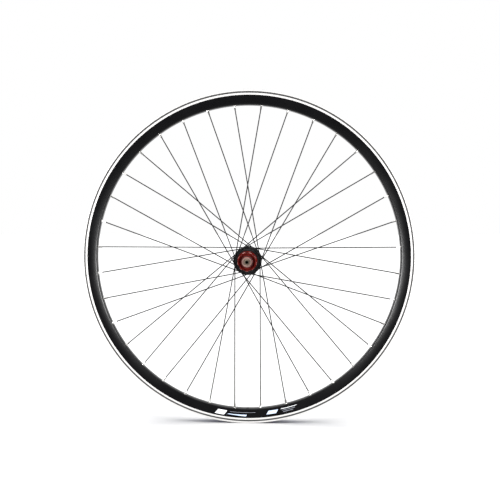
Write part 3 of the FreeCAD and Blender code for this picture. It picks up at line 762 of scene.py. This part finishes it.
@dataclass
class Rim:
    """The rim, its tape, and the printed flashes on its sloping faces.

    Sizes named after a ring are its radius, and the same name with half is its distance from
    the mid plane, but groove_half is half the groove's width.
    """

    nodes: Nodes
    bed: float = 0.2909
    bed_half: float = 0.0044
    shoulder: float = 0.2919
    shoulder_half: float = 0.0059
    track: float = 0.3080
    half: float = 0.0115
    crown: float = 0.0005
    groove: float = 0.3129
    groove_half: float = 0.00075
    groove_depth: float = 0.0004
    edge: float = 0.3178
    edge_break: float = 0.0005
    hook: float = 0.3171
    hook_half: float = 0.0087
    hook_mouth: float = 0.0095
    hook_end: float = 0.3159
    pocket: float = 0.3151
    seat: float = 0.3110
    seat_half: float = 0.0096
    seat_width: float = 0.0020
    well: float = 0.3090
    well_half: float = 0.0056
    bed_wall: float = 0.0018
    well_wall: float = 0.0012
    side_wall: float = 0.00125
    chamber_flare: float = 0.0005
    chamber_drop: float = 0.0003
    chamber_taper: float = 0.0004
    chamber_inset: float = 0.0010
    bed_round: float = 0.0007
    track_round: float = 0.0004
    edge_round: float = 0.0002
    hook_round: float = 0.0003
    spokes: int = 36
    spoke_hole: float = 0.00277
    hole_stagger: float = 0.0010
    access_hole: float = 0.0045
    valve_hole: float = 0.00325
    drill_lead: float = 0.004
    drill_past: float = 0.006
    face_steps: int = 10
    turn_steps: int = 288
    drill_sides: int = 24
    same_place: float = 0.00001
    merge_gap: float = 0.000001
    ink_lift: float = 0.00007
    ink_thickness: float = 0.00004
    ink_rungs: int = 6
    ink_step: float = 0.35

    def build(self) -> list[bpy.types.Object]:
        """Make and dress the rim, its tape and its flashes.

        Returns:
            The finished pieces.
        """
        anodised = RimFinish().material()
        pieces = dress(self.nodes, ["rim"], anodised)
        pieces += dress(self.nodes, ["rim_tape"], TAPE_PLASTIC.material())
        pieces.append(self.build_rim(anodised))
        return pieces + self.build_flashes()

    def face_point(self, share: float, side: Side) -> Vector:
        """A point on the gently crowned sloping face, straight above the wheel's centre.

        Args:
            share: 0 at the spoke bed, 1 at the brake track.
            side: the face.

        Returns:
            The point, as (0, along the axle, radius).
        """
        radius = self.shoulder + (self.track - self.shoulder) * share
        crown = self.crown * 4 * share * (1 - share)
        half = self.shoulder_half + (self.half - self.shoulder_half) * share + crown
        return Vector((0, side.value * half, radius))

    def ink_point(self, share: float, side: Side) -> Vector:
        """A point just clear of the sloping face, where ink lies.

        Args:
            share: 0 at the spoke bed, 1 at the brake track.
            side: the face.

        Returns:
            The point, as (0, along the axle, radius).
        """
        return self.face_point(share, side) + Vector((0, side.value * self.ink_lift, 0))

    def outline(self) -> list[tuple[float, float]]:
        """One side of the rim's outer outline.

        Returns:
            Radius and distance from the mid plane of each corner, from the spoke bed to the well.
        """
        face = [self.face_point(i / self.face_steps, Side.LEFT) for i in range(self.face_steps + 1)]
        return [(self.bed, self.bed_half)] + [(point.z, point.y) for point in face] + [
            (self.groove - self.groove_half, self.half),
            (self.groove - self.groove_half, self.half - self.groove_depth),
            (self.groove + self.groove_half, self.half - self.groove_depth),
            (self.groove + self.groove_half, self.half),
            (self.edge - self.edge_break, self.half),
            (self.edge, self.half - self.edge_break),
            (self.edge, self.hook_mouth),
            (self.hook, self.hook_half),
            (self.hook_end, self.hook_half),
            (self.pocket, self.seat_half),
            (self.seat, self.seat_half),
            (self.seat, self.seat_half - self.seat_width),
            (self.well, self.well_half),
        ]

    def chamber(self) -> list[tuple[float, float]]:
        """One side of the closed chamber between the two walls.

        Returns:
            Radius and distance from the mid plane of each corner.
        """
        return [
            (self.bed + self.bed_wall, self.bed_half + self.chamber_flare),
            (self.track - self.chamber_drop, self.half - self.side_wall - self.chamber_taper),
            (self.well - self.chamber_flare, self.seat_half - self.chamber_inset),
            (self.well - self.well_wall, self.well_half),
        ]

    def turn(self, halves: Sequence[tuple[float, float]], hollow: bool) -> bmesh.types.BMesh:
        """Turn a section full circle round the axle.

        Args:
            halves: radius and distance from the mid plane of each corner on one side.
            hollow: whether the shape is a space inside the metal, so that its faces point inwards.

        Returns:
            The closed ring.
        """
        shape = bmesh.new()
        places = [(radius, half) for radius, half in halves]
        places += [(radius, -half) for radius, half in reversed(halves)]
        corners = [shape.verts.new((0, along, radius)) for radius, along in places]
        for first, second in zip(corners, corners[1:] + corners[:1]):
            shape.edges.new((first, second))
        bmesh.ops.spin(
            shape, geom=shape.verts[:] + shape.edges[:], cent=(0, 0, 0), axis=(0, 1, 0),
            angle=math.tau, steps=self.turn_steps, use_merge=True, use_duplicate=False,
        )
        bmesh.ops.remove_doubles(shape, verts=shape.verts, dist=self.merge_gap)
        bmesh.ops.recalc_face_normals(shape, faces=shape.faces)
        if hollow:
            bmesh.ops.reverse_faces(shape, faces=shape.faces)
        return shape

    def ring_edges(self, shape: bmesh.types.BMesh, radius: float, half: float) -> list[bmesh.types.BMEdge]:
        """Find the edges of one corner's two rings.

        Args:
            shape: the turned rim.
            radius: the corner's radius.
            half: its distance from the mid plane.

        Returns:
            The edges on both sides.
        """
        def on_ring(vert: bmesh.types.BMVert) -> bool:
            """Whether a point is on either ring."""
            off_radius = abs(math.hypot(vert.co.x, vert.co.z) - radius)
            return off_radius < self.same_place and abs(abs(vert.co.y) - half) < self.same_place

        return [edge for edge in shape.edges if all(on_ring(vert) for vert in edge.verts)]

    def build_rim(self, finish: bpy.types.Material) -> bpy.types.Object:
        """Turn the rim, round its edges and drill it, in place of the plain CAD rim.

        Args:
            finish: the rim's material.

        Returns:
            The finished rim.
        """
        shape = self.turn(self.outline(), hollow=False)
        for radius, half, offset in (
            (self.bed, self.bed_half, self.bed_round),
            (self.shoulder, self.shoulder_half, self.bed_round),
            (self.track, self.half, self.track_round),
            (self.edge - self.edge_break, self.half, self.edge_round),
            (self.edge, self.half - self.edge_break, self.edge_round),
            (self.hook, self.hook_half, self.hook_round),
        ):
            bmesh.ops.bevel(
                shape, geom=self.ring_edges(shape, radius, half), offset=offset, offset_type="OFFSET",
                affect="EDGES", segments=3, profile=0.5, material=-1, clamp_overlap=True,
            )
        chamber = self.turn(self.chamber(), hollow=True)
        inner = bpy.data.meshes.new("rim_chamber")
        chamber.to_mesh(inner)
        chamber.free()
        shape.from_mesh(inner)
        bpy.data.meshes.remove(inner)
        drilled = carved("rim_drilled", shape, self.drills())
        rim = make_piece("rim_drilled", drilled, finish, "wheel")
        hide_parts("rim")
        return rim

    def drills(self) -> bmesh.types.BMesh:
        """Make every drill for the rim's holes: spoke holes, access holes and the valve hole.

        Returns:
            The drills as separate closed cylinders.
        """
        drills = bmesh.new()
        well_end = self.well + self.drill_past
        for number in range(self.spokes):
            turn = math.radians(360 / self.spokes * (number + 0.5))
            offset = self.hole_stagger if number % 2 else -self.hole_stagger
            bed_ends = (self.bed - self.drill_lead, self.bed + self.drill_past)
            self.add_drill(drills, turn, offset, self.spoke_hole, bed_ends)
            self.add_drill(drills, turn, 0.0, self.access_hole, (self.well - self.drill_past, well_end))
        self.add_drill(drills, 0.0, 0.0, self.valve_hole, (self.bed - self.drill_past, well_end))
        return drills

    def add_drill(
        self, drills: bmesh.types.BMesh, turn: float, along: float, radius: float, ends: tuple[float, float]
    ) -> None:
        """Add one drill, aimed straight out from the axle.

        Args:
            drills: the bmesh that takes it.
            turn: its angle from straight down, in radians.
            along: its place along the axle.
            radius: its radius.
            ends: the radii from the axle where it starts and ends.
        """
        made = bmesh.ops.create_cone(
            drills, cap_ends=True, segments=self.drill_sides, radius1=radius, radius2=radius,
            depth=ends[1] - ends[0],
        )
        down = Matrix.Rotation(turn, 4, "Y") @ Matrix.Translation((0, along, -(ends[0] + ends[1]) / 2))
        bmesh.ops.transform(drills, matrix=down, verts=made["verts"])

    def flash(self, mark: Flash, side: Side) -> bmesh.types.BMesh:
        """Make one printed shape that follows the rim.

        Args:
            mark: its measures.
            side: the face it is on.

        Returns:
            The shape as a thin solid.
        """
        shape = bmesh.new()
        height = mark.high - mark.low
        rungs = [
            shape.verts.new(self.ink_point(mark.low + height * i / self.ink_rungs, side))
            for i in range(self.ink_rungs + 1)
        ]
        for first, second in zip(rungs, rungs[1:]):
            shape.edges.new((first, second))
        sweep = math.radians(mark.sweep)
        bmesh.ops.spin(
            shape, geom=shape.verts[:] + shape.edges[:], cent=(0, 0, 0), axis=(0, 1, 0),
            angle=sweep, steps=max(3, int(mark.sweep / self.ink_step)), use_duplicate=False,
        )
        end = mark.high if mark.high_end is None else mark.high_end
        for vert in shape.verts:
            across = (math.hypot(vert.co.x, vert.co.z) - self.shoulder) / (self.track - self.shoulder)
            share = (across - mark.low) / height
            turn = math.atan2(vert.co.x, vert.co.z)
            travel = turn / sweep
            shrink = 1.0 + (end - mark.low) / height * travel - travel
            target = self.ink_point(mark.low + height * share * shrink, side)
            vert.co = Matrix.Rotation(turn + math.radians(mark.slant) * share, 4, "Y") @ target
        down = Matrix.Rotation(math.radians(180 - mark.start - mark.sweep), 3, "Y")
        bmesh.ops.rotate(shape, verts=shape.verts, cent=(0, 0, 0), matrix=down)
        bmesh.ops.recalc_face_normals(shape, faces=shape.faces)
        bmesh.ops.solidify(shape, geom=shape.faces[:], thickness=self.ink_thickness)
        bmesh.ops.recalc_face_normals(shape, faces=shape.faces)
        return shape

    def build_flashes(self) -> list[bpy.types.Object]:
        """Make the printed flashes on both faces.

        Returns:
            The finished flashes.
        """
        inks = {ink: ink_finish(ink, colour, dust).material() for ink, colour, dust in INKS}
        return [
            make_piece(
                "flash_%s_%s" % (mark.name, side.name.lower()), self.flash(mark, side), inks[mark.ink],
                "wheel",
            )
            for side in Side for mark in FLASHES
        ]


@dataclass
class Lacing:
    """Spokes, nipples and eyelets."""

    nodes: Nodes
    groups: tuple[str, ...] = ("drive_outside", "drive_inside", "left_outside", "left_inside")
    sides: tuple[str, ...] = ("drive", "left")

    def build(self) -> list[bpy.types.Object]:
        """Dress every spoke, nipple and eyelet.

        Returns:
            The dressed nodes.
        """
        spokes = dress(self.nodes, [name + "_spokes" for name in self.groups], SPOKE_OXIDE.material())
        nipples = dress(self.nodes, [name + "_nipples" for name in self.sides], NIPPLE_NICKEL.material())
        eyelets = dress(self.nodes, [name + "_eyelets" for name in self.sides], EYELET_STEEL.material())
        return spokes + nipples + eyelets


@dataclass
class Hub:
    """Hub shell, axle, end caps, bearings, freehub and ratchet."""

    nodes: Nodes
    bearings: tuple[str, ...] = ("hub_right", "hub_left", "freehub_outer", "freehub_inner")
    steel_parts: tuple[str, ...] = ("inner_race", "outer_race", "balls")
    spacers: tuple[str, ...] = ("centre_spacer", "freehub_spacer", "freehub_sleeve", "freehub_race_spacer")
    ratchet: tuple[str, ...] = ("ratchet_ring", "pawl_1", "pawl_2", "pawl_3", "pawl_springs")

    def build(self) -> list[bpy.types.Object]:
        """Dress every piece of the hub.

        Returns:
            The dressed nodes.
        """
        return self.dress_outside() + self.dress_axle() + self.dress_inside()

    def dress_outside(self) -> list[bpy.types.Object]:
        """Dress the shell and the freehub's body.

        Returns:
            The dressed nodes.
        """
        shell = dress(self.nodes, ["hub_shell"], HUB_BLACK.material())
        return shell + dress(self.nodes, ["freehub_body"], SplineFinish().material())

    def dress_axle(self) -> list[bpy.types.Object]:
        """Dress the axle, its end caps and the spacers on it.

        Returns:
            The dressed nodes.
        """
        axle = dress(self.nodes, ["axle"], AXLE_STEEL.material())
        cap = dress(self.nodes, ["right_end_cap"], CAP_ALUMINIUM.material())
        return axle + cap + dress(self.nodes, ["left_end_cap", *self.spacers], BRIGHT_ALUMINIUM.material())

    def dress_inside(self) -> list[bpy.types.Object]:
        """Dress the bearings, the ratchet and the seals.

        Returns:
            The dressed nodes.
        """
        steel = [name + "_" + part for name in self.bearings for part in self.steel_parts]
        pieces = dress(self.nodes, steel, GROUND_STEEL.material())
        pieces += dress(self.nodes, [name + "_cage" for name in self.bearings], CAGE_PLASTIC.material())
        seals = [name + "_seals" for name in self.bearings] + ["hub_seal"]
        pieces += dress(self.nodes, seals, SEAL_RUBBER.material())
        return pieces + dress(self.nodes, self.ratchet, TOOL_STEEL.material())


# Studio


@dataclass(frozen=True)
class SoftBox:
    """One soft box that faces the hub: where it hangs, its width and height, and its watts."""

    name: str
    place: tuple[float, float, float]
    sides: tuple[float, float]
    power: float


@dataclass
class Studio:
    """Pale floor, soft lights and the camera."""

    floor_height: float = -0.3180
    floor_radius: float = 30.0
    floor_sides: int = 96
    front: float = 0.03
    front_end: float = -0.88
    room_start: float = -0.35
    boxes: tuple[SoftBox, ...] = (
        SoftBox("key_light", (-1.35, -1.73, 0.12), (0.60, 0.80), 44.0),
        SoftBox("fill_light", (1.35, -1.73, 0.10), (0.64, 0.80), 46.0),
    )
    ceiling_strength: float = 1.7
    ceiling_spread: float = 60.0
    camera_place: tuple[float, float, float] = (0.028, -1.135, 0.063)
    look_down: float = 5.39
    look_left: float = 2.09
    lens: float = 42.55
    sensor: float = 36.0
    shift: tuple[float, float] = (0.0184, 0.066)
    unlit: bpy.types.Collection = field(
        default_factory=lambda: bpy.data.collections.new("not_lit_by_soft_boxes")
    )

    def build(self) -> None:
        """Lay the floor, hang the lights and stand the camera."""
        self.build_floor()
        self.build_room()
        for box in self.boxes:
            self.hang(box)
        self.build_ceiling()
        self.build_camera()

    def build_floor(self) -> None:
        """Lay a wide round floor under the wheel, which the soft boxes leave alone."""
        shape = bmesh.new()
        bmesh.ops.create_circle(shape, cap_ends=True, segments=self.floor_sides, radius=self.floor_radius)
        bmesh.ops.translate(shape, verts=shape.verts, vec=(0, 0, self.floor_height))
        floor = link("floor", shape)
        floor.data.materials.append(StudioPaper().material())
        floor.visible_glossy = False
        self.unlit.objects.link(floor)
        self.unlit.collection_objects[0].light_linking.link_state = "EXCLUDE"

    def build_room(self) -> None:
        """Surround the wheel with a white room that lights it less from the front."""
        world = bpy.data.worlds.new("white_room")
        bpy.context.scene.world = world
        world.use_nodes = True
        tree = world.node_tree
        direction = tree.nodes.new("ShaderNodeTexCoord")
        parts = tree.nodes.new("ShaderNodeSeparateXYZ")
        ramp = tree.nodes.new("ShaderNodeMapRange")
        ramp.interpolation_type = "SMOOTHSTEP"
        for key, value in (
            ("From Min", self.front_end), ("From Max", self.room_start),
            ("To Min", self.front), ("To Max", 1.0),
        ):
            ramp.inputs[key].default_value = value
        seen = tree.nodes.new("ShaderNodeLightPath")
        strength = tree.nodes.new("ShaderNodeMath")
        strength.operation = "MAXIMUM"
        background = tree.nodes["Background"]
        tree.links.new(direction.outputs["Generated"], parts.inputs[0])
        tree.links.new(parts.outputs[1], ramp.inputs["Value"])
        tree.links.new(ramp.outputs["Result"], strength.inputs[0])
        tree.links.new(seen.outputs["Is Camera Ray"], strength.inputs[1])
        tree.links.new(strength.outputs[0], background.inputs["Strength"])
        background.inputs["Color"].default_value = (1.0, 1.0, 1.0, 1.0)

    def hang(self, box: SoftBox) -> None:
        """Hang one soft box.

        Args:
            box: its measures.
        """
        light = bpy.data.lights.new(box.name, "AREA")
        light.shape = "RECTANGLE"
        light.size, light.size_y = box.sides
        light.energy = box.power
        lamp = bpy.data.objects.new(box.name, light)
        lamp.location = box.place
        lamp.visible_camera = False
        lamp.light_linking.receiver_collection = self.unlit
        lamp.rotation_euler = (-Vector(box.place)).to_track_quat("-Z", "Y").to_euler()
        bpy.context.scene.collection.objects.link(lamp)

    def build_ceiling(self) -> None:
        """Light the wheel and the floor softly from above."""
        light = bpy.data.lights.new("top_light", "SUN")
        light.energy = self.ceiling_strength
        light.angle = math.radians(self.ceiling_spread)
        bpy.context.scene.collection.objects.link(bpy.data.objects.new("top_light", light))

    def build_camera(self) -> None:
        """Stand the camera in front of the drive side, a little above the axle."""
        data = bpy.data.cameras.new("camera")
        data.lens = self.lens
        data.sensor_width = self.sensor
        data.shift_x, data.shift_y = self.shift
        camera = bpy.data.objects.new("camera", data)
        camera.location = self.camera_place
        camera.rotation_euler = (math.radians(90 - self.look_down), 0.0, math.radians(self.look_left))
        bpy.context.scene.collection.objects.link(camera)
        bpy.context.scene.camera = camera
        bpy.context.scene.view_settings.view_transform = "Standard"


def main() -> None:
    """Build the looks of the wheel, one sub-assembly at a time, and report each piece."""
    logging.basicConfig(level=logging.INFO, format="%(message)s")
    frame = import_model()
    nodes = frame["nodes"]
    for assembly in (Rim(nodes), Lacing(nodes), Hub(nodes)):
        for piece in assembly.build():
            mesh = piece.data
            LOG.info("%s: %d faces, %s", piece.name, len(mesh.polygons), mesh.materials[0].name)
    Studio().build()


if __name__ == "__main__":
    main()
